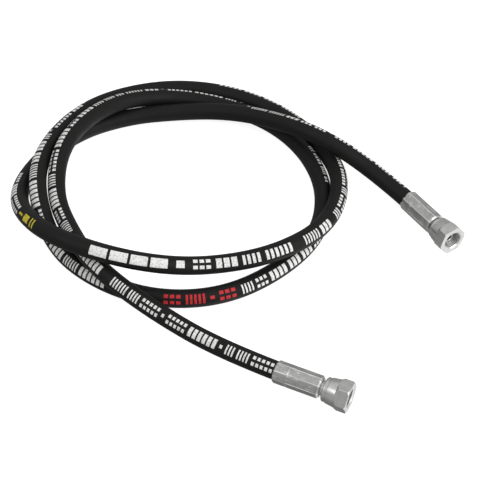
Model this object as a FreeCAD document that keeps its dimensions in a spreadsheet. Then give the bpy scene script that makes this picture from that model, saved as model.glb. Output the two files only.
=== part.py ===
import FreeCAD, Part
import math
import os

import Sketcher

# Hydraulic hose assembly, DN 6, lying in a loose coil on a flat floor.
# A rubber liner, one layer of wire braid and a rubber cover make the hose.
# Each end has a pressed-on ferrule, a barbed insert with a 60 degree cone, an O-ring and
# a swivel nut with a G 1/4 thread, which turns on the insert.
# Frame: +Z up from the floor, +X toward the side on which end b lies, origin on the
# floor at the middle of the assembly's outline.  All sizes are in millimetres.

Vector = FreeCAD.Vector
UP = Vector(0, 0, 1)

doc = FreeCAD.newDocument("hydraulic_hose_assembly")

# ---------------------------------------------------------------- driving dimensions

DIMENSIONS = [
    ("hose_diameter", 12.5),
    ("braid_diameter", 9.6),
    ("liner_diameter", 8.4),
    ("hose_bore", 6.4),
    ("gripped_length", 28.0),          # hose inside each ferrule
    ("gripped_diameter", 11.4),        # cover squeezed by the ferrule
    ("ferrule_length", 31.5),
    ("ferrule_diameter", 15.0),
    ("ferrule_across_flats", 14.7),    # across the marks of the crimping dies
    ("ferrule_band_length", 9.3),      # uncrimped stretch at the hose end
    ("ferrule_mouth_diameter", 13.4),
    ("ferrule_mouth_taper", 1.6),
    ("ferrule_front_chamfer", 0.9),
    ("ferrule_lip_diameter", 8.0),
    ("ferrule_lip_length", 2.0),
    ("ferrule_groove_depth", 0.4),
    ("ferrule_groove_width", 1.4),
    ("ferrule_groove_pitch", 5.6),
    ("ferrule_groove_count", 4),
    ("die_count", 8),
    ("die_mark_width", 5.9),
    ("insert_bore", 4.0),
    ("tail_length", 26.0),
    ("tail_diameter", 6.4),
    ("tail_root_diameter", 5.8),
    ("barb_pitch", 5.0),
    ("barb_count", 5),
    ("insert_flange_diameter", 9.4),
    ("insert_flange_length", 1.2),
    ("insert_neck_diameter", 9.8),
    ("insert_neck_length", 4.2),
    ("insert_shoulder_diameter", 10.8),
    ("insert_shoulder_length", 7.3),
    ("nose_diameter", 6.4),
    ("nose_half_angle", 30),
    ("nose_edge", 0.3),                # countersink at both ends of the insert's bore
    ("ring_thickness", 1.3),
    ("ring_groove_diameter", 7.4),
    ("ring_groove_width", 1.4),
    ("ring_groove_setback", 0.6),      # from the cone's wide end
    ("nut_across_flats", 19.0),
    ("nut_length", 17.5),
    ("nut_standoff", 1.8),             # neck left bare between ferrule and nut
    ("nut_front_diameter", 20.2),
    ("nut_front_chamfer", 0.6),
    ("nut_hexagon_length", 6.5),       # full corners, measured from the front
    ("nut_rear_chamfer", 2.0),
    ("nut_taper_front_diameter", 18.7),
    ("nut_taper_back_diameter", 17.0),
    ("nut_collar_length", 3.1),
    ("nut_collar_diameter", 16.2),
    ("nut_collar_rounding", 1.2),
    ("nut_roll_a", -6.3),              # turn of a corner about the axis, from level
    ("nut_roll_b", 6.5),
    ("ferrule_roll_a", 15.5),          # the same for the middle of a die mark
    ("ferrule_roll_b", 23.5),
    ("nut_lip_length", 2.2),
    ("thread_bore", 11.44),            # across the crests of the G 1/4 thread
    ("thread_chamfer", 0.8),
    ("thread_land_length", 3.1),       # at the crests' diameter, ahead of the insert's nose
    ("thread_root_diameter", 13.16),   # beside the nose and cone
    ("thread_depth", 11.0),            # from the nut's mouth, run-out included
    ("neck_clearance", 0.05),
    ("shoulder_clearance", 0.08),
    ("coil_middle_x", -40.0),
    ("coil_middle_y", 44.5),
    ("coil_start_angle", 262),
    ("station_angle", 24),
    ("overcut", 1.0),                  # how far a cutting outline runs past the metal
]

dims = doc.addObject("Spreadsheet::Sheet", "dims")
for row, (alias, number) in enumerate(DIMENSIONS, start=1):
    dims.set(f"A{row}", alias)
    dims.set(f"B{row}", str(number))
    dims.setAlias(f"B{row}", alias)
doc.recompute()


def size(expression):
    """Value of an expression in the sheet's aliases, such as dims.nut_length / 2."""
    result = dims.evalExpression(expression)
    return float(getattr(result, "Value", result))


# Places along a fitting's own axis, from the hose's cut end outward to the nut's mouth.
FERRULE_FRONT = "(dims.ferrule_length - dims.gripped_length)"
FERRULE_BACK = "(-dims.gripped_length)"
LIP_BACK = f"({FERRULE_FRONT} - dims.ferrule_lip_length)"
FLANGE_BACK = f"({LIP_BACK} - dims.insert_flange_length)"
NECK_FRONT = f"({FERRULE_FRONT} + dims.insert_neck_length)"
CONE_BACK = f"({NECK_FRONT} + dims.insert_shoulder_length)"
CONE_SLOPE = "tan(dims.nose_half_angle)"
NOSE_FRONT = f"({CONE_BACK} + (dims.insert_shoulder_diameter - dims.nose_diameter) / 2 / {CONE_SLOPE})"
NUT_BACK = f"({FERRULE_FRONT} + dims.nut_standoff)"
NUT_FRONT = f"({NUT_BACK} + dims.nut_length)"

# ---------------------------------------------------------------- route of the hose

# The leads are straight inside the ferrules.  Each nut rests on the floor with the corner
# that its roll turns downward, and the ferrule of end b rests on its back edge.
LEAD_A = [Vector(50.5, -138.55, 10.4), Vector(-4.7, -113.4, 11.3)]
LEAD_B = [Vector(61, 73.5, 29), Vector(106.8, 51.4, 6.05), Vector(135.1, 6.7, 9.15)]

# Just over two and a half loose turns, clockwise seen from above: one station every
# 24 degrees, with its distance from the coil's middle and its height.  A turn that crosses
# another rises over it in a long low hump, and elsewhere it lies on the floor.
COIL = [
    (122, 13.5), (104.5, 21), (89.5, 14), (88.5, 14), (88, 23.5),
    (86.5, 25.5), (91.5, 17.5), (94, 9.5), (93, 6.25), (95, 6.25),
    (98, 6.25), (103, 6.25), (107.5, 6.25), (106.5, 6.25), (109, 6.25),
    (108, 6.25), (104.5, 6.25), (103, 6.25), (101.5, 20.5), (101.5, 18.5),
    (98.5, 20), (105.5, 10.5), (108.5, 6.5), (107.5, 6.25), (108, 6.25),
    (111.5, 6.25), (115, 14.5), (114, 18), (104, 21.5), (91, 18),
    (95.5, 26.5), (105.5, 35), (113.5, 29.5), (116.5, 14.5), (107.5, 6.25),
    (95.5, 6.25), (82.5, 6.25), (78.5, 8), (81, 11), (84.5, 19),
]


def coil_point(station, distance, height):
    angle = math.radians(size("dims.coil_start_angle") - station * size("dims.station_angle"))
    x = size("dims.coil_middle_x") + distance * math.cos(angle)
    y = size("dims.coil_middle_y") + distance * math.sin(angle)
    return Vector(x, y, height)


ROUTE = LEAD_A + [coil_point(station, *row) for station, row in enumerate(COIL)] + LEAD_B

# Each end's axis: the hose's cut end, and the next point of the route inward.
LEADS = {"a": (ROUTE[0], ROUTE[1]), "b": (ROUTE[-1], ROUTE[-2])}

ARC_REACH = 0.45    # share of the shorter run that an arc takes
VOLUME_TOLERANCE = 0.001


def rounded_wire(points):
    """Straight runs joined by tangent arcs, as one wire, and the arcs' radii."""
    edges = []
    radii = []
    start = points[0]
    for before, corner, after in zip(points, points[1:], points[2:]):
        arriving = corner - before
        leaving = after - corner
        reach = ARC_REACH * min(arriving.Length, leaving.Length)
        arriving.normalize()
        leaving.normalize()
        half_turn = arriving.getAngle(leaving) / 2
        radius = reach / math.tan(half_turn)
        inward = (leaving - arriving).normalize()
        middle = corner + inward * (radius / math.cos(half_turn) - radius)
        first = corner - arriving * reach
        last = corner + leaving * reach
        edges.append(Part.LineSegment(start, first).toShape())
        edges.append(Part.Arc(first, middle, last).toShape())
        radii.append(radius)
        start = last
    edges.append(Part.LineSegment(start, points[-1]).toShape())
    return Part.Wire(edges), radii


# ---------------------------------------------------------------- helpers

PIECES = []


def add_piece(piece, label):
    piece.Label = label
    PIECES.append(piece)
    return piece


def origin_feature(body, role):
    return next(item for item in body.Origin.OriginFeatures if item.Role == role)


def bind(sketch, constraint, name, expression):
    index = sketch.addConstraint(constraint)
    sketch.renameConstraint(index, name)
    sketch.setExpression(f"Constraints.{name}", expression)


def profile_sketch(body, name, corners):
    """Closed outline in the plane of the axis; a corner is (radius, place along the axis)."""
    sketch = body.newObject("Sketcher::SketchObject", name)
    sketch.AttachmentSupport = (origin_feature(body, "XZ_Plane"), [""])
    sketch.MapMode = "FlatFace"
    spots = [Vector(size(radius), size(place), 0) for radius, place in corners]
    count = len(corners)
    for index in range(count):
        sketch.addGeometry(Part.LineSegment(spots[index], spots[(index + 1) % count]), False)
    for index in range(count):
        sketch.addConstraint(Sketcher.Constraint("Coincident", index, 2, (index + 1) % count, 1))
    for index, (radius, place) in enumerate(corners):
        if spots[index].x == 0:
            sketch.addConstraint(Sketcher.Constraint("PointOnObject", index, 1, -2))
        else:
            across = Sketcher.Constraint("DistanceX", -1, 1, index, 1, spots[index].x)
            bind(sketch, across, f"radius_{index}", radius)
        along = Sketcher.Constraint("DistanceY", -1, 1, index, 1, spots[index].y)
        bind(sketch, along, f"place_{index}", place)
    return sketch


def turned(body, kind, name, corners):
    """Revolution or Groove of an outline about the fitting's axis."""
    sketch = profile_sketch(body, f"{name}_outline", corners)
    feature = body.newObject(f"PartDesign::{kind}", name)
    feature.Profile = sketch
    feature.ReferenceAxis = (sketch, ["V_Axis"])
    feature.Angle = 360
    doc.recompute()
    return feature


def cut_volume(feature, before, label):
    removed = before - feature.Shape.Volume
    if removed <= 0:
        raise RuntimeError(f"{label} removes nothing")
    return feature.Shape.Volume


# ---------------------------------------------------------------- fittings


def make_ferrule(end, placement):
    """Steel sleeve: ribbed bore over the hose, eight die marks, lip in the insert's groove."""
    body = add_piece(doc.addObject("PartDesign::Body", f"ferrule_{end}"), f"ferrule_{end}")
    outer = "dims.ferrule_diameter / 2"
    bore = "dims.gripped_diameter / 2"
    corners = [
        (bore, FERRULE_BACK),
        ("dims.ferrule_mouth_diameter / 2", FERRULE_BACK),
        (outer, f"{FERRULE_BACK} + dims.ferrule_mouth_taper"),
        (outer, f"{FERRULE_FRONT} - dims.ferrule_front_chamfer"),
        (f"{outer} - dims.ferrule_front_chamfer", FERRULE_FRONT),
        ("dims.ferrule_lip_diameter / 2", FERRULE_FRONT),
        ("dims.ferrule_lip_diameter / 2", LIP_BACK),
        (bore, LIP_BACK),
    ]
    for groove in range(int(size("dims.ferrule_groove_count")), 0, -1):
        rear = f"{FERRULE_BACK} + {groove} * dims.ferrule_groove_pitch"
        front = f"{rear} + dims.ferrule_groove_width"
        deep = f"{bore} + dims.ferrule_groove_depth"
        corners += [(bore, front), (deep, front), (deep, rear), (bore, rear)]
    sleeve = turned(body, "Revolution", f"sleeve_{end}", corners)
    volume = sleeve.Shape.Volume

    flat = body.newObject("Sketcher::SketchObject", f"die_mark_outline_{end}")
    flat.AttachmentSupport = (origin_feature(body, "XY_Plane"), [""])
    flat.MapMode = "FlatFace"
    flat.setExpression("AttachmentOffset.Base.z", f"{FERRULE_BACK} + dims.ferrule_band_length")
    inner = size("dims.ferrule_across_flats / 2")
    outside = size("dims.ferrule_diameter / 2 + dims.overcut")
    half = size("dims.die_mark_width / 2")
    box = [(inner, -half), (outside, -half), (outside, half), (inner, half)]
    for (x1, y1), (x2, y2) in zip(box, box[1:] + box[:1]):
        flat.addGeometry(Part.LineSegment(Vector(x1, y1, 0), Vector(x2, y2, 0)), False)
    for index in range(4):
        flat.addConstraint(Sketcher.Constraint("Coincident", index, 2, (index + 1) % 4, 1))
    for index, kind in enumerate(("Horizontal", "Vertical", "Horizontal")):
        flat.addConstraint(Sketcher.Constraint(kind, index))
    flat.addConstraint(Sketcher.Constraint("Symmetric", 3, 1, 3, 2, -1))
    bind(flat, Sketcher.Constraint("DistanceX", -1, 1, 0, 1, inner), "depth",
         "dims.ferrule_across_flats / 2")
    bind(flat, Sketcher.Constraint("DistanceX", -1, 1, 0, 2, outside), "outside",
         "dims.ferrule_diameter / 2 + dims.overcut")
    bind(flat, Sketcher.Constraint("DistanceY", 1, 1, 1, 2, 2 * half), "width",
         "dims.die_mark_width")
    mark = body.newObject("PartDesign::Pocket", f"die_mark_{end}")
    mark.Profile = flat
    mark.Reversed = True
    mark.setExpression("Length", "dims.ferrule_length - dims.ferrule_band_length")
    doc.recompute()
    volume = cut_volume(mark, volume, "a die mark")

    marks = body.newObject("PartDesign::PolarPattern", f"die_marks_{end}")
    marks.Originals = [mark]
    marks.Axis = (origin_feature(body, "Z_Axis"), [""])
    marks.Angle = 360
    marks.setExpression("Occurrences", "dims.die_count")
    body.Tip = marks
    doc.recompute()
    cut_volume(marks, volume, "the ring of die marks")
    body.Placement = placement


def make_insert(end, placement):
    """Steel nipple: barbed tail, locking groove, neck, shoulder and 60 degree cone."""
    body = add_piece(doc.addObject("PartDesign::Body", f"insert_{end}"), f"insert_{end}")
    bore = "dims.insert_bore / 2"
    crest = "dims.tail_diameter / 2"
    root = "dims.tail_root_diameter / 2"
    shoulder = "dims.insert_shoulder_diameter / 2"
    groove = "dims.ring_groove_diameter / 2"
    tail_back = "(-dims.tail_length)"
    groove_back = f"({CONE_BACK} + dims.ring_groove_setback)"
    groove_front = f"({groove_back} + dims.ring_groove_width)"
    corners = [
        (f"{bore} + dims.nose_edge", tail_back),
        (root, tail_back),
    ]
    for barb in range(1, int(size("dims.barb_count")) + 1):
        place = f"{tail_back} + {barb} * dims.barb_pitch"
        corners += [(crest, place), (root, place)]
    corners += [
        (root, FLANGE_BACK),
        ("dims.insert_flange_diameter / 2", FLANGE_BACK),
        ("dims.insert_flange_diameter / 2", LIP_BACK),
        ("dims.ferrule_lip_diameter / 2", LIP_BACK),
        ("dims.ferrule_lip_diameter / 2", FERRULE_FRONT),
        ("dims.insert_neck_diameter / 2", FERRULE_FRONT),
        ("dims.insert_neck_diameter / 2", NECK_FRONT),
        (shoulder, NECK_FRONT),
        (shoulder, CONE_BACK),
        (f"{shoulder} - dims.ring_groove_setback * {CONE_SLOPE}", groove_back),
        (groove, groove_back),
        (groove, groove_front),
        (f"{shoulder} - ({groove_front} - {CONE_BACK}) * {CONE_SLOPE}", groove_front),
        ("dims.nose_diameter / 2", NOSE_FRONT),
        (f"{bore} + dims.nose_edge", NOSE_FRONT),
        (bore, f"{NOSE_FRONT} - dims.nose_edge"),
        (bore, f"{tail_back} + dims.nose_edge"),
    ]
    turned(body, "Revolution", f"nipple_{end}", corners)
    body.Placement = placement


def make_ring(end, placement):
    """Rubber O-ring seated in the cone's groove."""
    ring = add_piece(doc.addObject("Part::Torus", f"o_ring_{end}"), f"o_ring_{end}")
    ring.setExpression("Radius1", "dims.ring_groove_diameter / 2 + dims.ring_thickness / 2")
    ring.setExpression("Radius2", "dims.ring_thickness / 2")
    middle = size(f"{CONE_BACK} + dims.ring_groove_setback + dims.ring_groove_width / 2")
    ring.Placement = placement.multiply(FreeCAD.Placement(UP * middle, FreeCAD.Rotation()))


def make_nut(end, placement):
    """Hexagon nut, tapered behind to a collar that is pressed in behind the insert's shoulder."""
    body = add_piece(doc.addObject("PartDesign::Body", f"swivel_nut_{end}"), f"swivel_nut_{end}")
    hexagon = body.newObject("Sketcher::SketchObject", f"hexagon_outline_{end}")
    hexagon.AttachmentSupport = (origin_feature(body, "XY_Plane"), [""])
    hexagon.MapMode = "FlatFace"
    hexagon.setExpression("AttachmentOffset.Base.z", NUT_BACK)
    corner_radius = size("dims.nut_across_flats / sqrt(3)")
    turns = [math.radians(60 * index) for index in range(6)]
    spots = [Vector(math.cos(turn), math.sin(turn), 0) * corner_radius for turn in turns]
    for index in range(6):
        hexagon.addGeometry(Part.LineSegment(spots[index], spots[(index + 1) % 6]), False)
    circle = hexagon.addGeometry(Part.Circle(Vector(0, 0, 0), UP, corner_radius), True)
    hexagon.addConstraint(Sketcher.Constraint("Coincident", circle, 3, -1, 1))
    for index in range(6):
        hexagon.addConstraint(Sketcher.Constraint("Coincident", index, 2, (index + 1) % 6, 1))
        hexagon.addConstraint(Sketcher.Constraint("PointOnObject", index, 1, circle))
        if index > 0:
            hexagon.addConstraint(Sketcher.Constraint("Equal", 0, index))
    hexagon.addConstraint(Sketcher.Constraint("Horizontal", 1))
    bind(hexagon, Sketcher.Constraint("Radius", circle, corner_radius), "corner",
         "dims.nut_across_flats / sqrt(3)")
    blank = body.newObject("PartDesign::Pad", f"hexagon_{end}")
    blank.Profile = hexagon
    blank.setExpression("Length", "dims.nut_length")
    doc.recompute()
    volume = blank.Shape.Volume

    collar = "dims.nut_collar_diameter / 2"
    corner = "dims.nut_across_flats / sqrt(3)"
    beyond = f"({corner} + dims.overcut)"
    behind = f"({NUT_BACK} - dims.overcut)"
    ahead = f"({NUT_FRONT} + dims.overcut)"
    hexagon_back = f"({NUT_FRONT} - dims.nut_hexagon_length)"
    collar_front = f"({NUT_BACK} + dims.nut_collar_length)"
    feature = turned(body, "Groove", f"taper_{end}", [
        (corner, hexagon_back),
        (beyond, hexagon_back),
        (beyond, behind),
        (f"{collar} - dims.nut_collar_rounding", behind),
        (f"{collar} - dims.nut_collar_rounding", NUT_BACK),
        (collar, f"{NUT_BACK} + dims.nut_collar_rounding"),
        (collar, collar_front),
        ("dims.nut_taper_back_diameter / 2", collar_front),
        ("dims.nut_taper_front_diameter / 2", f"{hexagon_back} - dims.nut_rear_chamfer"),
    ])
    volume = cut_volume(feature, volume, "the nut's taper")
    feature = turned(body, "Groove", f"front_chamfer_{end}", [
        ("dims.nut_front_diameter / 2", NUT_FRONT),
        ("dims.nut_front_diameter / 2", ahead),
        (beyond, ahead),
        (beyond, f"{NUT_FRONT} - dims.nut_front_chamfer"),
        (corner, f"{NUT_FRONT} - dims.nut_front_chamfer"),
    ])
    volume = cut_volume(feature, volume, "the nut's front chamfer")

    crest = "dims.thread_bore / 2"
    root = "dims.thread_root_diameter / 2"
    cavity = "(dims.insert_shoulder_diameter / 2 + dims.shoulder_clearance)"
    lip = "(dims.insert_neck_diameter / 2 + dims.neck_clearance)"
    lip_front = f"({NUT_BACK} + dims.nut_lip_length)"
    root_back = f"({NUT_FRONT} - dims.thread_depth)"
    land_front = f"({NUT_FRONT} - dims.thread_chamfer)"
    land_back = f"({land_front} - dims.thread_land_length)"
    feature = turned(body, "Groove", f"bore_{end}", [
        ("0", behind),
        (lip, behind),
        (lip, lip_front),
        (cavity, lip_front),
        (cavity, root_back),
        (root, root_back),
        (root, land_back),
        (crest, land_back),
        (crest, land_front),
        (f"{crest} + dims.thread_chamfer", NUT_FRONT),
        (f"{crest} + dims.thread_chamfer", ahead),
        ("0", ahead),
    ])
    cut_volume(feature, volume, "the nut's bore")
    body.Placement = placement


def end_placement(end, roll=0):
    """Fitting axis along the lead, outward, turned about itself by a roll from level."""
    cut_end, inner_point = LEADS[end]
    outward = (cut_end - inner_point).normalize()
    level = FreeCAD.Rotation(UP.cross(outward), UP, outward, "ZXY")
    return FreeCAD.Placement(cut_end, level.multiply(FreeCAD.Rotation(UP, roll)))


for end_name in LEADS:
    make_ferrule(end_name, end_placement(end_name, size(f"dims.ferrule_roll_{end_name}")))
    make_insert(end_name, end_placement(end_name))
    make_ring(end_name, end_placement(end_name))
    make_nut(end_name, end_placement(end_name, size(f"dims.nut_roll_{end_name}")))

# ---------------------------------------------------------------- hose

route_wire, bend_radii = rounded_wire(ROUTE)
print("bend radii:", " ".join(f"{radius:.0f}" for radius in bend_radii))
print(f"length of hose: {route_wire.Length:.0f} mm")


def make_layer(label, shape):
    layer = add_piece(doc.addObject("Part::Feature", label), label)
    layer.Shape = shape


def ferrule_mouth(end):
    """Point on the hose's middle line where it enters a ferrule."""
    cut_end, inner_point = LEADS[end]
    return cut_end + (inner_point - cut_end).normalize() * size("dims.gripped_length")


def swept_tube(path, outer, inner):
    """Tube along a wire, its volume compared with section times length."""
    start, after = (vertex.Point for vertex in path.Edges[0].Vertexes)
    discs = []
    for diameter in (outer, inner):
        circle = Part.Circle(start, after - start, size(diameter) / 2).toShape()
        discs.append(Part.Face(Part.Wire(circle)))
    section = discs[0].cut(discs[1]).Faces[0]
    solid = path.makePipe(section)
    expected = section.Area * path.Length
    if abs(solid.Volume - expected) > VOLUME_TOLERANCE * expected:
        raise RuntimeError(f"tube volume {solid.Volume:.1f}, expected {expected:.1f}")
    return solid


def cover_shape():
    """Cover between the ferrules, and squeezed thinner inside each of them."""
    edges = route_wire.Edges
    first = Part.LineSegment(ferrule_mouth("a"), edges[0].Vertexes[1].Point).toShape()
    last = Part.LineSegment(edges[-1].Vertexes[0].Point, ferrule_mouth("b")).toShape()
    open_wire = Part.Wire([first] + edges[1:-1] + [last])
    solid = swept_tube(open_wire, "dims.hose_diameter", "dims.braid_diameter")
    for end, (cut_end, _) in LEADS.items():
        gripped = Part.Wire(Part.LineSegment(cut_end, ferrule_mouth(end)).toShape())
        squeezed = swept_tube(gripped, "dims.gripped_diameter", "dims.braid_diameter")
        solid = solid.fuse(squeezed)
    return solid


make_layer("inner_tube", swept_tube(route_wire, "dims.liner_diameter", "dims.hose_bore"))
make_layer("wire_braid", swept_tube(route_wire, "dims.braid_diameter", "dims.liner_diameter"))
make_layer("outer_cover", cover_shape())

# ---------------------------------------------------------------- checks and files

doc.recompute()
for item in doc.Objects:
    if "Invalid" in item.State or "Error" in item.State:
        raise RuntimeError(f"{item.Label} failed to recompute: {item.State}")
for piece in PIECES:
    if piece.Shape.isNull() or not piece.Shape.isValid() or len(piece.Shape.Solids) != 1:
        raise RuntimeError(f"{piece.Label} is not one valid solid")

os.makedirs("parts", exist_ok=True)
for piece in PIECES:
    piece.Shape.exportStep(f"parts/{piece.Label}.step")
    print(f"{piece.Label:14s} {piece.Shape.Volume:10.1f} mm3")

whole = FreeCAD.BoundBox()
for piece in PIECES:
    whole.add(piece.Shape.optimalBoundingBox())
print(f"outline X {whole.XMin:.2f} to {whole.XMax:.2f}, Y {whole.YMin:.2f} to {whole.YMax:.2f}, "
      f"Z {whole.ZMin:.2f} to {whole.ZMax:.2f}")
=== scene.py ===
import math

import bpy
import numpy as np
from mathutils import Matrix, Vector


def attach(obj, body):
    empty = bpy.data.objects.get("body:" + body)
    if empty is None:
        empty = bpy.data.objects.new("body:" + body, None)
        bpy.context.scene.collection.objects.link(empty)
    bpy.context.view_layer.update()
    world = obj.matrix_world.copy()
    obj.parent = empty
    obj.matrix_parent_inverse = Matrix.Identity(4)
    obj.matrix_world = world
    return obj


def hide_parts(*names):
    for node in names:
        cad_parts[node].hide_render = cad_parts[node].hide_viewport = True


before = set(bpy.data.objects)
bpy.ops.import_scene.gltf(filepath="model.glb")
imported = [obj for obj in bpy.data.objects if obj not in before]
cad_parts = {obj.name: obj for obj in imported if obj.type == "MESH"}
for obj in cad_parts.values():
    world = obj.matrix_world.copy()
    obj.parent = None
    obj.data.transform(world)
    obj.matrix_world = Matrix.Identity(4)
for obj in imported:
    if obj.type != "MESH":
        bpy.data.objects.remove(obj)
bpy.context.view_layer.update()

MM = 0.001
UP = Vector((0, 0, 1))
scene = bpy.context.scene
scene.view_settings.view_transform = "Standard"

# ---------------------------------------------------------------- camera

TARGET = Vector((0.003, -0.0015, 0))
CAMERA_DISTANCE = 1.105
CAMERA_ELEVATION = math.radians(46)

camera = bpy.data.objects.new("camera", bpy.data.cameras.new("camera"))
scene.collection.objects.link(camera)
camera.data.sensor_width = 36
camera.data.lens = 119.5
back = Vector((0, -math.cos(CAMERA_ELEVATION), math.sin(CAMERA_ELEVATION)))
camera.location = TARGET + back * CAMERA_DISTANCE
camera.rotation_euler = (-back).to_track_quat("-Z", "Y").to_euler()
scene.camera = camera

# ---------------------------------------------------------------- route of the hose

HOSE_RADIUS = 6.25 * MM
GRIPPED_LENGTH = 28.0 * MM
# The hose's centre line from end a to end b: a lead, the coil, and a lead. The coil's rows
# are stations, each the distance from the coil's middle and the height above the floor.
LEAD_A = [(0.0505, -0.13855, 0.0104), (-0.0047, -0.1134, 0.0113)]
LEAD_B = [(0.061, 0.0735, 0.029), (0.1068, 0.0514, 0.00605), (0.1351, 0.0067, 0.00915)]
COIL_MIDDLE = (-0.040, 0.0445)
COIL_START_ANGLE = 262    # degrees
STATION_ANGLE = 24
COIL = [
    (0.122, 0.0135), (0.1045, 0.021), (0.0895, 0.014), (0.0885, 0.014), (0.088, 0.0235),
    (0.0865, 0.0252), (0.0918, 0.0182), (0.0926, 0.0109), (0.093, 0.00625), (0.095, 0.00625),
    (0.098, 0.00625), (0.103, 0.00625), (0.1075, 0.00625), (0.1065, 0.00625), (0.109, 0.00625),
    (0.108, 0.00625), (0.1045, 0.00625), (0.103, 0.00625), (0.1015, 0.0205), (0.1015, 0.0185),
    (0.0985, 0.020), (0.1055, 0.0105), (0.1085, 0.0065), (0.1075, 0.00625), (0.108, 0.00625),
    (0.1115, 0.00625), (0.115, 0.0145), (0.114, 0.018), (0.104, 0.0215), (0.091, 0.018),
    (0.0955, 0.0265), (0.1055, 0.035), (0.1135, 0.0295), (0.1165, 0.0145), (0.1075, 0.00625),
    (0.0958, 0.00625), (0.0851, 0.00625), (0.0784, 0.008), (0.081, 0.011), (0.0845, 0.019),
]


def coil_point(station, distance, height):
    angle = math.radians(COIL_START_ANGLE - station * STATION_ANGLE)
    x = COIL_MIDDLE[0] + distance * math.cos(angle)
    y = COIL_MIDDLE[1] + distance * math.sin(angle)
    return x, y, height


ROUTE = LEAD_A + [coil_point(station, *row) for station, row in enumerate(COIL)] + LEAD_B

curve = bpy.data.curves.new("hose_line", "CURVE")
curve.dimensions = "3D"
spline = curve.splines.new("NURBS")
spline.points.add(len(ROUTE) - 1)
for control, place in zip(spline.points, ROUTE):
    control.co = (*place, 1)
spline.order_u = 3
spline.use_endpoint_u = True
spline.resolution_u = 24
line = bpy.data.objects.new("hose_line", curve)
scene.collection.objects.link(line)
bpy.context.view_layer.update()
line_mesh = bpy.data.meshes.new_from_object(line)
LINE = np.array([vertex.co for vertex in line_mesh.vertices])
bpy.data.objects.remove(line)

steps = np.linalg.norm(np.diff(LINE, axis=0), axis=1)
REACH = np.concatenate([[0], np.cumsum(steps)])    # length of hose up to each point
HOSE_LENGTH = REACH[-1]
heading = np.gradient(LINE, axis=0)
heading /= np.linalg.norm(heading, axis=1)[:, None]
OUTWARD = np.cross([0, 0, 1], heading)
OUTWARD /= np.linalg.norm(OUTWARD, axis=1)[:, None]
UPWARD = np.cross(heading, OUTWARD)


def on_hose(reach, angle, radius):
    """Points on the hose: length along it, angle up from the coil's outer side, and radius."""
    reach, angle, radius = np.broadcast_arrays(reach, angle, radius)
    point, out, up = (
        np.stack([np.interp(reach, REACH, table[:, axis]) for axis in range(3)], -1)
        for table in (LINE, OUTWARD, UPWARD)
    )
    ray = out * np.cos(angle)[..., None] + up * np.sin(angle)[..., None]
    return point + ray * radius[..., None]


# ---------------------------------------------------------------- helpers for meshes


def mesh_piece(name, points, faces, body, smooth=True):
    data = bpy.data.meshes.new(name)
    data.from_pydata([tuple(point) for point in points], [], [tuple(face) for face in faces])
    data.validate()
    if smooth:
        data.shade_smooth()
    piece = bpy.data.objects.new(name, data)
    scene.collection.objects.link(piece)
    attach(piece, body)
    return piece


def grid_faces(rows, columns, close_rows, close_columns):
    """Quads of a grid of points, flat index row * columns + column."""
    row = np.arange(rows if close_rows else rows - 1)
    column = np.arange(columns if close_columns else columns - 1)
    r, c = (part.ravel() for part in np.meshgrid(row, column, indexing="ij"))
    r2, c2 = (r + 1) % rows, (c + 1) % columns
    return np.stack([r * columns + c, r * columns + c2, r2 * columns + c2, r2 * columns + c], 1)


def add_uv(piece, rows, columns, u, v, u_size, v_size):
    """UV of a closed grid: u runs over the rows, v over the columns."""
    layer = piece.data.uv_layers.new(name="UVMap")
    count = len(piece.data.loops)
    index = np.zeros(count, int)
    piece.data.loops.foreach_get("vertex_index", index)
    row, column = index // columns, index % columns
    faces = np.arange(count) // 4
    start_column = column[faces * 4]
    wrapped = (column == 0) & (start_column == columns - 1)
    uv = np.stack([u[row] * u_size, (v[column] + wrapped) * v_size], 1)
    layer.data.foreach_set("uv", uv.ravel())


def rounded(corners, steps=4):
    """Outline with its corners filleted; a corner is (radius, place, fillet)."""
    outline = []
    count = len(corners)
    for index, (x, y, fillet) in enumerate(corners):
        here = Vector((x, y))
        before = Vector(corners[index - 1][:2]) - here
        after = Vector(corners[(index + 1) % count][:2]) - here
        if fillet == 0:
            outline.append((x, y))
            continue
        half = before.angle(after) / 2
        setback = min(fillet / math.tan(half), 0.45 * before.length, 0.45 * after.length)
        first = here + before.normalized() * setback
        last = here + after.normalized() * setback
        for step in range(steps + 1):
            t = step / steps
            spot = first * (1 - t) ** 2 + here * 2 * t * (1 - t) + last * t ** 2
            outline.append(tuple(spot))
    return outline


class Axis:
    """A fitting's axis: z runs outward from the hose's cut end, and x is level."""

    def __init__(self, cut_end, inner_point):
        self.origin = Vector(cut_end)
        self.z = (self.origin - Vector(inner_point)).normalized()
        self.x = UP.cross(self.z).normalized()
        self.y = self.z.cross(self.x)

    def points(self, radius, angle, place):
        """Points in the row frame from arrays of radius, angle from level, and place."""
        radius, angle, place = np.broadcast_arrays(radius, angle, place)
        flat = (radius * np.cos(angle), radius * np.sin(angle), place)
        total = np.array(self.origin) + sum(
            part[..., None] * np.array(way) for part, way in zip(flat, (self.x, self.y, self.z))
        )
        return total.reshape(-1, 3)


AXES = {"a": Axis(ROUTE[0], ROUTE[1]), "b": Axis(ROUTE[-1], ROUTE[-2])}

# ---------------------------------------------------------------- hose


def hose_layer(name, outer, inner, columns):
    """Closed tube wall along the whole hose; outer and inner are radii, or one at each point."""
    angle = np.arange(columns) * 2 * math.pi / columns
    reach = np.concatenate([REACH, REACH[::-1]])
    outer, inner = (np.broadcast_to(radius, REACH.shape) for radius in (outer, inner))
    radius = np.concatenate([outer, inner[::-1]])
    points = on_hose(reach[:, None], angle[None, :], radius[:, None])
    rows = len(reach)
    piece = mesh_piece(name, points.reshape(-1, 3), grid_faces(rows, columns, True, True), "hose")
    add_uv(piece, rows, columns, reach, angle / (2 * math.pi), 1, 2 * math.pi * HOSE_RADIUS)
    return piece


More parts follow.
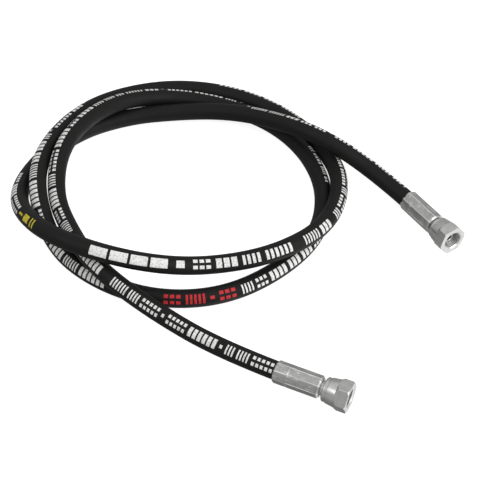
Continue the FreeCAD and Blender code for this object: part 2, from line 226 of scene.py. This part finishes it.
MOUTH_TAPER = 1.6 * MM
SQUEEZE = 0.55 * MM    # how far the ferrule presses the cover in
COVER_BORE = 4.8 * MM
BRAID_OUTER = 4.78 * MM
BRAID_BORE = 4.2 * MM
LINER_OUTER = 4.18 * MM
LINER_BORE = 3.2 * MM

from_end = np.minimum(REACH, HOSE_LENGTH - REACH)
squeezed = np.clip((GRIPPED_LENGTH - from_end) / MOUTH_TAPER, 0, 1)
cover = hose_layer("rubber_cover", HOSE_RADIUS - SQUEEZE * squeezed, COVER_BORE, 48)
braid = hose_layer("braided_wire", BRAID_OUTER, BRAID_BORE, 24)
liner = hose_layer("rubber_liner", LINER_OUTER, LINER_BORE, 24)
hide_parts("outer_cover")
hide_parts("wire_braid")
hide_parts("inner_tube")

# ---------------------------------------------------------------- printed marks on the cover

PRINT_HEIGHT = 6.7 * MM
PRINT_RISE = 0.03 * MM
PRINT_ROOT = 0.15 * MM
BLOCK_STEP = 1.2 * MM
# The hose lies slightly twisted: the middle of the print at a length along the hose, in
# degrees up from the coil's outer side.
PRINT_TURN = [
    (0.03, 58), (0.09, 57), (0.15, 53), (0.25, 57), (0.35, 58), (0.42, 46), (0.60, 36),
    (0.70, 40), (0.80, 42), (0.88, 60), (0.93, 58), (1.08, 47), (1.13, 43), (1.20, 46),
    (1.25, 36), (1.30, 44), (1.35, 53), (1.37, 54), (1.42, 49), (1.50, 45), (1.75, 58),
    (1.80, 54), (1.85, 42), (1.89, 38),
]


def print_angle(reach):
    return np.radians(np.interp(reach, *zip(*PRINT_TURN)))


class Marks:
    """Closed thin blocks on the cover's surface, gathered into one piece."""

    KINDS = ["bars", "wide bars", "squares", "square"]
    SHARES = [0.32, 0.3, 0.28, 0.1]
    BANDS = {"squares": [(0.0, 0.36), (0.64, 1.0)], "square": [(0.33, 0.67)]}

    def __init__(self):
        self.points = []
        self.faces = []
        self.count = 0

    def block(self, start, end, low=0.0, high=1.0):
        """A block from start to end along the hose, and low to high across the print."""
        columns = max(2, int((end - start) / BLOCK_STEP) + 2)
        rows = max(3, int((high - low) * 8) + 2)
        across = np.linspace(low, high, rows)[:, None]
        reach = np.linspace(start, end, columns)[None, :]
        angle = print_angle(reach) - (across - 0.5) * PRINT_HEIGHT / HOSE_RADIUS
        top = on_hose(reach, angle, HOSE_RADIUS + PRINT_RISE).reshape(-1, 3)
        bottom = on_hose(reach, angle, HOSE_RADIUS - PRINT_ROOT).reshape(-1, 3)
        size = rows * columns
        faces = [tuple(face) for face in grid_faces(rows, columns, False, False)]
        under = [tuple(size + corner for corner in reversed(face)) for face in faces]
        rim = list(range(columns))
        rim += [r * columns + columns - 1 for r in range(1, rows)]
        rim += [(rows - 1) * columns + c for c in range(columns - 2, -1, -1)]
        rim += [r * columns for r in range(rows - 2, 0, -1)]
        sides = [(now, last, size + last, size + now) for last, now in zip(rim[-1:] + rim, rim)]
        base = self.count
        self.points += [top, bottom]
        self.faces += [tuple(base + corner for corner in face) for face in faces + under + sides]
        self.count += 2 * size

    def bars(self, start, count, width, gap):
        for index in range(count):
            place = start + index * (width + gap)
            self.block(place, place + width)

    def code(self, start, end, seed, stroke=1.1, cell=3.3, gap=1.15):
        """Groups of plain cells, each of one kind: bars, wide bars, pairs of squares, or a square.

        Stroke, cell and gap are in millimetres.
        """
        pick = np.random.default_rng(seed)
        place = start
        while place < end:
            kind = pick.choice(self.KINDS, p=self.SHARES)
            width = {"bars": stroke, "wide bars": 0.75 * cell}.get(kind, 0.6 * cell) * MM
            count = 1 if kind == "square" else int(pick.integers(3, 7))
            for _ in range(count):
                if place + width > end:
                    return
                for low, high in self.BANDS.get(kind, [(0.0, 1.0)]):
                    self.block(place, place + width, low, high)
                place += width + gap * MM
            place += 0.45 * cell * MM

    def piece(self, name):
        made = mesh_piece(name, np.concatenate(self.points), self.faces, "hose", smooth=False)
        return made


WHITE_STRIPS = [
    (0.029, 0.158), (0.165, 0.455), (0.520, 0.560), (0.600, 0.679), (0.765, 0.830), (0.840, 0.962),
    (1.070, 1.140), (1.190, 1.256), (1.263, 1.289), (1.502, 1.550), (1.745, 1.883),
]
white = Marks()
for seed, (start, end) in enumerate(WHITE_STRIPS):
    white.code(start, end, seed)
white.code(1.298, 1.367, 30, stroke=1.9, cell=5.4, gap=1.3)    # the heavier run at the front
white.block(1.3715, 1.3770, 0.12, 0.88)
white.bars(1.3825, 4, 0.0112, 0.0018)
red = Marks()
red.code(0.683, 0.733, 40, stroke=1.5, cell=4.6, gap=1.2)
yellow = Marks()
yellow.bars(1.479, 2, 0.0012, 0.0016)
yellow.block(1.4855, 1.4915, 0.1, 0.9)
yellow.block(1.4935, 1.4985, 0.38, 0.62)
white_print = white.piece("white_marks")
red_print = red.piece("red_marks")
yellow_print = yellow.piece("yellow_marks")

# ---------------------------------------------------------------- ferrules

FERRULE_BACK = -28.0 * MM
FERRULE_FRONT = 3.5 * MM
FERRULE_COLUMNS = 480
SLEEVE = 7.5 * MM            # outside, before it is pressed
PRESSED_FROM = 6.9 * MM      # radius beyond which the outline's points are pressed
CRIMP_FLATS = 8
FLAT = 7.38 * MM
FLAT_BULGE = 0.6             # 1 is a true flat, 0 is round
STEP_DOWN = 0.2 * MM
STEP_LENGTH = 0.45 * MM
RIDGE = 0.08 * MM
RIDGE_WIDTH = math.radians(1.6)
EDGE_WIDTH = math.radians(2.5)
BAND_FRONT = FERRULE_BACK + 9.3 * MM
DIE_FRONT = FERRULE_FRONT - 5.0 * MM
DIE_END_LENGTH = 0.5 * MM
DIE_END_SHARE = 0.45         # how much shallower the flats are ahead of the die's end
FERRULE_ROLL = {"a": math.radians(15.5), "b": math.radians(23.5)}


def crimped(angle, place, radius):
    """Outer radius of the sleeve: eight pressed flats, with a step down ahead of the band."""
    facet = 2 * math.pi / CRIMP_FLATS
    off = (angle + facet / 2) % facet - facet / 2
    edge = facet / 2 - np.abs(off)
    ridge = np.exp(-((edge / RIDGE_WIDTH) ** 2))
    flat = FLAT / np.cos(off * FLAT_BULGE)
    deep = np.clip((place - BAND_FRONT) / STEP_LENGTH, 0, 1)
    deep = deep - DIE_END_SHARE * np.clip((place - DIE_FRONT) / DIE_END_LENGTH, 0, 1)
    inside = np.clip(edge / EDGE_WIDTH, 0, 1)
    pressed = flat + RIDGE * ridge * deep - STEP_DOWN * deep * inside - SLEEVE
    return np.where(radius > PRESSED_FROM, radius + pressed, radius)


def make_ferrule(end):
    places = [BAND_FRONT + step * MM for step in (-0.05, 0.0, 0.15, 0.3, 0.45, 0.5)]
    places += [DIE_FRONT + step * MM for step in (-0.05, 0.0, 0.25, 0.5, 0.6)]
    corners = [
        (5.7 * MM, FERRULE_BACK + 1.4 * MM, 0),
        (6.6 * MM, FERRULE_BACK, 0.15 * MM),
        (6.85 * MM, FERRULE_BACK, 0.15 * MM),
        (SLEEVE, FERRULE_BACK + 0.9 * MM, 0.5 * MM),
    ]
    corners += [(SLEEVE, place, 0) for place in places]
    corners += [
        (SLEEVE, FERRULE_FRONT - 1.2 * MM, 0.6 * MM),
        (6.3 * MM, FERRULE_FRONT, 0.4 * MM),
        (4.0 * MM, FERRULE_FRONT, 0.1 * MM),
        (4.0 * MM, FERRULE_FRONT - 2 * MM, 0),
        (5.7 * MM, FERRULE_FRONT - 2 * MM, 0),
    ]
    outline = np.array(rounded(corners))
    angle = np.arange(FERRULE_COLUMNS) * 2 * math.pi / FERRULE_COLUMNS
    radius, place = outline[:, 0][:, None], outline[:, 1][:, None]
    radius = crimped(angle[None, :] - FERRULE_ROLL[end], place, radius)
    points = AXES[end].points(radius, angle[None, :], place)
    faces = grid_faces(len(outline), FERRULE_COLUMNS, True, True)[:, ::-1]
    piece = mesh_piece(f"crimped_ferrule_{end}", points, faces, "hose")
    turn = (angle - FERRULE_ROLL[end]) / (2 * math.pi)
    add_uv(piece, len(outline), FERRULE_COLUMNS, outline[:, 1] - BAND_FRONT, turn, 1, 1)
    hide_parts(f"ferrule_{end}")
    return piece


# ---------------------------------------------------------------- swivel nuts

NUT_BACK = 5.3 * MM
NUT_FRONT = 22.8 * MM
NUT_COLUMNS = 240
NUT_ROLL = {"a": math.radians(-6.3), "b": math.radians(6.5)}
APOTHEM = 9.5 * MM
CORNER = 10.9 * MM
EDGE_ROUNDING = 0.15 * MM
# Collar, cone and chamfer behind the hexagon: distances from the nut's back, and radii there.
BEHIND_PLACES = np.array([0.0, 2.9, 3.2, 9.0, 11.3]) * MM
BEHIND_RADII = np.array([8.1, 8.1, 8.5, 9.35, 11.2]) * MM
BACK_ROUNDING = 1.3 * MM
RIM = 10.05 * MM             # where the front chamfer meets the front face
RIM_LENGTH = 0.6 * MM
RIM_SLOPE = 1.1
RIM_ROUNDING = 0.12 * MM
MOUTH = 6.75 * MM
MOUTH_CHAMFER = 0.9 * MM
THREAD_PITCH = 1.337 * MM
THREAD_CREST = 5.72 * MM
THREAD_ROOT = 6.5 * MM
THREAD_LENGTH = 9.5 * MM
ROWS_PER_TURN = 10
THREAD_RELIEF = 6.58 * MM
COLLAR_BORE = 5.48 * MM
NECK_BORE = 4.96 * MM


def soft_min(first, second, width):
    """Smaller of two, blended over a width so that the edge is rounded."""
    gap = np.clip(0.5 + 0.5 * (second - first) / width, 0, 1)
    return second * (1 - gap) + first * gap - width * gap * (1 - gap)


def nut_outside(angle, place):
    """Hexagon, chamfered behind, on a cone with a collar."""
    sector = math.radians(60)
    off = (angle + sector / 2) % sector - sector / 2
    hexagon = APOTHEM / np.cos(off)
    hexagon = soft_min(hexagon, CORNER, EDGE_ROUNDING)
    behind = np.interp(place - NUT_BACK, BEHIND_PLACES, BEHIND_RADII)
    return soft_min(hexagon, behind, EDGE_ROUNDING)


def make_nut(end):
    angle = np.arange(NUT_COLUMNS)[None, :] * 2 * math.pi / NUT_COLUMNS
    rows = []

    def add(radius, place):
        rows.append((radius * np.ones_like(angle), place * np.ones_like(angle)))

    # collar, taper and hexagon
    outside_places = np.concatenate([
        NUT_BACK + np.array([0.0, 0.08, 0.2, 0.4, 0.7, 1.0, 1.3]) * MM,
        NUT_BACK + np.array([1.7, 2.2, 2.7, 2.9, 3.0, 3.1, 3.2, 3.4, 3.8]) * MM,
        NUT_BACK + np.linspace(4.2, 8.6, 12) * MM,
        NUT_BACK + np.linspace(8.8, 11.2, 25) * MM,
        NUT_FRONT - np.linspace(6.0, 1.0, 11) * MM,
        NUT_FRONT - np.array([0.8, 0.6, 0.45, 0.3, 0.2, 0.1, 0.0]) * MM,
    ])
    for place in outside_places:
        radius = nut_outside(angle - NUT_ROLL[end] + math.radians(30), place)
        from_back = place - NUT_BACK
        if from_back < BACK_ROUNDING:
            drop = BACK_ROUNDING * (1 - math.sqrt(1 - (1 - from_back / BACK_ROUNDING) ** 2))
            radius = radius - drop
        from_front = NUT_FRONT - place
        if from_front < RIM_LENGTH:
            radius = soft_min(radius, RIM + RIM_SLOPE * from_front, RIM_ROUNDING)
        add(radius, place)
    # front face and the chamfer into the thread
    front = rows[-1][0]
    for share in (0.02, 0.1, 0.4, 0.7, 0.93, 1.0):
        add(front * (1 - share) + MOUTH * share, NUT_FRONT)
    for share in (0.05, 0.2, 0.6, 0.9):
        add(MOUTH - share * 1.0 * MM, NUT_FRONT - share * MOUTH_CHAMFER)
    # helical thread
    thread_start = NUT_FRONT - MOUTH_CHAMFER
    thread_rows = int(THREAD_LENGTH / THREAD_PITCH * ROWS_PER_TURN)
    for row in range(thread_rows):
        place = thread_start - row * THREAD_PITCH / ROWS_PER_TURN
        phase = (place / THREAD_PITCH + angle / (2 * math.pi)) % 1
        wave = 0.5 - 0.5 * np.cos(phase * 2 * math.pi)
        fade = min(1.0, row / 4, (thread_rows - row) / 6)
        depth = (THREAD_ROOT - THREAD_CREST) * np.clip(wave * 1.3 - 0.15, 0, 1) * fade
        add(THREAD_CREST + depth, place)
    # relief behind the thread, and the bores over the insert's shoulder and neck
    add(THREAD_RELIEF, thread_start - THREAD_LENGTH - 0.05 * MM)
    add(THREAD_RELIEF, NUT_FRONT - 11 * MM)
    add(COLLAR_BORE, NUT_FRONT - 11.05 * MM)
    add(COLLAR_BORE, NUT_BACK + 2.2 * MM)
    add(NECK_BORE, NUT_BACK + 2.15 * MM)
    add(NECK_BORE, NUT_BACK + 0.15 * MM)
    add(5.1 * MM, NUT_BACK)
    radius, place = (np.concatenate(part) for part in zip(*rows))
    points = AXES[end].points(radius, angle, place)
    faces = grid_faces(len(rows), NUT_COLUMNS, True, True)[:, ::-1]
    piece = mesh_piece(f"threaded_nut_{end}", points, faces, f"nut_{end}")
    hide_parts(f"swivel_nut_{end}")
    return piece


ferrules = {end: make_ferrule(end) for end in AXES}
nuts = {end: make_nut(end) for end in AXES}

# ---------------------------------------------------------------- materials


def add_node(tree, kind, inputs=None, **settings):
    """A new node's outputs; inputs gives each named socket an output to follow, or a value."""
    made = tree.nodes.new(kind)
    for key, value in settings.items():
        setattr(made, key, value)
    for socket, value in (inputs or {}).items():
        if isinstance(value, bpy.types.NodeSocket):
            tree.links.new(value, made.inputs[socket])
        else:
            made.inputs[socket].default_value = value
    return made.outputs


def ramp(tree, source, stops):
    """A colour ramp; a stop is its position, and a colour or a grey."""
    outputs = add_node(tree, "ShaderNodeValToRGB", {0: source})
    elements = outputs[0].node.color_ramp.elements
    while len(elements) < len(stops):
        elements.new(0.5)
    for element, (position, value) in zip(elements, stops):
        element.position = position
        element.color = (*value, 1) if isinstance(value, tuple) else (value, value, value, 1)
    return outputs["Color"]


class Look:
    """A node material built on the principled shader."""

    def __init__(self, name, **sockets):
        self.material = bpy.data.materials.new(name)
        self.material.use_nodes = True
        self.tree = self.material.node_tree
        self.shader = self.tree.nodes["Principled BSDF"]
        for socket, value in sockets.items():
            self.shader.inputs[socket.replace("_", " ")].default_value = value

    def place(self, kind):
        """Coordinates on the piece: UV or Object."""
        return add_node(self.tree, "ShaderNodeTexCoord")[kind]

    def mapped(self, place, inputs):
        return add_node(self.tree, "ShaderNodeMapping", {0: place, **inputs})[0]

    def noise(self, place, **inputs):
        return add_node(self.tree, "ShaderNodeTexNoise", {"Vector": place, **inputs})[0]

    def wave(self, place, **inputs):
        return add_node(self.tree, "ShaderNodeTexWave", {"Vector": place, **inputs})[1]

    def combine(self, operation, *inputs):
        return add_node(
            self.tree, "ShaderNodeMath", dict(enumerate(inputs)), operation=operation)[0]

    def ramp(self, source, stops):
        return ramp(self.tree, source, stops)

    def link(self, source, socket):
        self.tree.links.new(source, self.shader.inputs[socket])

    def bump(self, height, strength, distance):
        bump = add_node(self.tree, "ShaderNodeBump", {
            "Height": height, "Strength": strength, "Distance": distance})
        self.link(bump[0], "Normal")

    def paint(self, *pieces):
        for piece in pieces:
            piece.data.materials.clear()
            piece.data.materials.append(self.material)


def rubber_cover_look():
    """Satin black rubber with the faint weave and wrap lines of a cloth-cured cover."""
    look = Look("wrapped_rubber", Specular_IOR_Level=0.15)
    uv = look.place("UV")
    grain = look.noise(look.mapped(uv, {3: (1100, 1100, 1)}), Detail=3)
    broad = look.noise(uv, Scale=70, Detail=4)
    wrapped = look.mapped(uv, {2: (0, 0, math.radians(28))})
    lines = look.wave(wrapped, Scale=9, Distortion=1.5)
    tone = look.ramp(grain, [(0.3, (0.007, 0.007, 0.0068)), (0.75, (0.0135, 0.0135, 0.0131))])
    look.link(tone, "Base Color")
    look.link(look.ramp(broad, [(0.3, 0.44), (0.7, 0.6)]), "Roughness")
    look.bump(look.combine("MULTIPLY", grain, lines), 0.4, 0.0001)
    return look


def smooth_rubber_look(name, tone):
    look = Look(name, Specular_IOR_Level=0.3)
    haze = look.noise(look.place("Object"), Scale=400)
    look.link(look.ramp(haze, [(0.3, tone), (0.7, tone * 1.6)]), "Base Color")
    look.link(look.ramp(haze, [(0.3, 0.38), (0.7, 0.52)]), "Roughness")
    return look


def braid_look():
    """Two families of fine wires that cross at 54 degrees to the hose's length."""
    look = Look("brassed_wire", Metallic=1.0, Roughness=0.36)
    uv = look.place("UV")
    waves = [
        look.wave(look.mapped(uv, {2: (0, 0, math.radians(turn))}), Scale=620)
        for turn in (54, -54)
    ]
    crossed = look.combine("MAXIMUM", *waves)
    tone = look.ramp(crossed, [(0.2, (0.16, 0.12, 0.06)), (0.9, (0.62, 0.52, 0.32))])
    look.link(tone, "Base Color")
    look.bump(crossed, 0.6, 0.0002)
    return look


def steel_look(name, low, high, rough, ridge_highlights_and_scuffs=False):
    """Zinc plate: cloudy, with fine grain and bright scuffs, and painted highlights on a ferrule's
    ridges.
    """
    look = Look(name, Metallic=1.0)
    place = look.place("Object")
    cloud = look.noise(place, Scale=240, Detail=5)
    tone = look.ramp(cloud, [(0.3, low), (0.7, high)])
    if ridge_highlights_and_scuffs:
        uv = look.place("UV")
        scuffed = look.noise(look.mapped(uv, {3: (24, 5, 1)}), Detail=4, Distortion=1.2)
        scuffs = look.ramp(scuffed, [(0.57, 0.0), (0.66, 0.8)])
        turn = add_node(look.tree, "ShaderNodeSeparateXYZ", {0: uv})[1]
        # painted highlight: the colour turns pale along each crimp ridge, joined with the bright
        # scuffs
        edge = look.combine("PINGPONG", look.combine("MULTIPLY", turn, CRIMP_FLATS), 0.5)
        marks = look.combine("MAXIMUM", scuffs, look.ramp(edge, [(0.44, 0.0), (0.475, 1.0)]))
    else:
        scuffed = look.noise(place, Scale=330, Distortion=2.5)
        marks = look.ramp(scuffed, [(0.6, 0.0), (0.7, 0.35)])
    mixed = add_node(
        look.tree, "ShaderNodeMixRGB", {0: marks, 1: tone, 2: (0.95, 0.95, 0.93, 1)})[0]
    look.link(mixed, "Base Color")
    look.link(look.ramp(cloud, [(0.3, rough + 0.06), (0.7, rough - 0.06)]), "Roughness")
    look.bump(look.noise(place, Scale=2200), 0.3, 0.00005)
    return look


def ink_look(name, tone, worn):
    """Printed ink, thin in places."""
    look = Look(name, Specular_IOR_Level=0.3)
    wear = look.noise(look.place("Object"), Scale=900, Detail=4)
    look.link(look.ramp(wear, [(0.36, worn), (0.5, tone)]), "Base Color")
    look.link(look.ramp(wear, [(0.3, 0.62), (0.7, 0.46)]), "Roughness")
    return look


rubber_cover_look().paint(cover)
smooth_rubber_look("liner_black", 0.010).paint(liner)
smooth_rubber_look("seal_black", 0.007).paint(
    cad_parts["o_ring_a"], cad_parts["o_ring_b"])
braid_look().paint(braid)
ink_look("white_ink", (0.80, 0.80, 0.79), (0.5, 0.5, 0.49)).paint(white_print)
ink_look("red_ink", (0.56, 0.022, 0.03), (0.33, 0.012, 0.015)).paint(red_print)
ink_look("yellow_ink", (0.62, 0.50, 0.03), (0.36, 0.28, 0.02)).paint(yellow_print)
steel_look("zinc_plate", (0.51, 0.515, 0.50), (0.66, 0.665, 0.65), 0.33).paint(
    *nuts.values(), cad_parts["insert_a"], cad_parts["insert_b"])
# the ferrules: bright scuffs, and a painted highlight along each crimp ridge
steel_look("crimped_zinc", (0.41, 0.415, 0.40), (0.54, 0.545, 0.53), 0.4,
           ridge_highlights_and_scuffs=True).paint(*ferrules.values())

# ---------------------------------------------------------------- floor and light


def area_light(name, place, aim, size, power):
    data = bpy.data.lights.new(name, "AREA")
    data.shape = "DISK"
    data.size = size
    data.energy = power
    lamp = bpy.data.objects.new(name, data)
    scene.collection.objects.link(lamp)
    lamp.location = place
    lamp.rotation_euler = (Vector(aim) - Vector(place)).to_track_quat("-Z", "Y").to_euler()
    return lamp


FLOOR_SIZE = 6
floor_data = bpy.data.meshes.new("floor")
half = FLOOR_SIZE / 2
floor_data.from_pydata(
    [(-half, -half, 0), (half, -half, 0), (half, half, 0), (-half, half, 0)], [], [(0, 1, 2, 3)])
floor = bpy.data.objects.new("floor", floor_data)
scene.collection.objects.link(floor)
floor.visible_diffuse = False
floor.visible_glossy = False
Look("floor", Base_Color=(0.5, 0.5, 0.5, 1), Roughness=0.95, Specular_IOR_Level=0.0,
     Emission_Color=(1, 1, 1, 1), Emission_Strength=0.86).paint(floor)

area_light("key", (1.15, -0.8, 0.95), (0, 0, 0), 1.9, 18)
area_light("side", (-1.02, -0.38, 1.0), (0, 0, 0), 0.7, 2.2)

# Greys of the world from straight down to straight up.
SKY = [
    (0.0, 0.2), (0.2, 0.3), (0.375, 0.45), (0.55, 0.5),
    (0.665, 0.44), (0.8, 0.54), (0.89, 0.78), (1.0, 0.76),
]
CARD_WAY = (0.74, -0.2, -0.64)    # direction of a pale card low on the right

world = bpy.data.worlds.new("studio")
scene.world = world
world.use_nodes = True
tree = world.node_tree
way = add_node(tree, "ShaderNodeTexCoord")["Generated"]
upward = add_node(tree, "ShaderNodeSeparateXYZ", {0: way})["Z"]
height = add_node(tree, "ShaderNodeMapRange", {"Value": upward, "From Min": -1})[0]
sky = ramp(tree, height, SKY)
aside = add_node(tree, "ShaderNodeVectorMath", {0: way, 1: CARD_WAY}, operation="DOT_PRODUCT")
card = add_node(tree, "ShaderNodeMapRange", {
    "Value": aside["Value"], "From Min": 0.45, "From Max": 0.85, "To Max": 0.95,
}, interpolation_type="SMOOTHSTEP")[0]
both = add_node(tree, "ShaderNodeMixRGB", {0: 1, 1: sky, 2: card}, blend_type="ADD")[0]
background = tree.nodes["Background"]
tree.links.new(both, background.inputs["Color"])
background.inputs["Strength"].default_value = 1.0
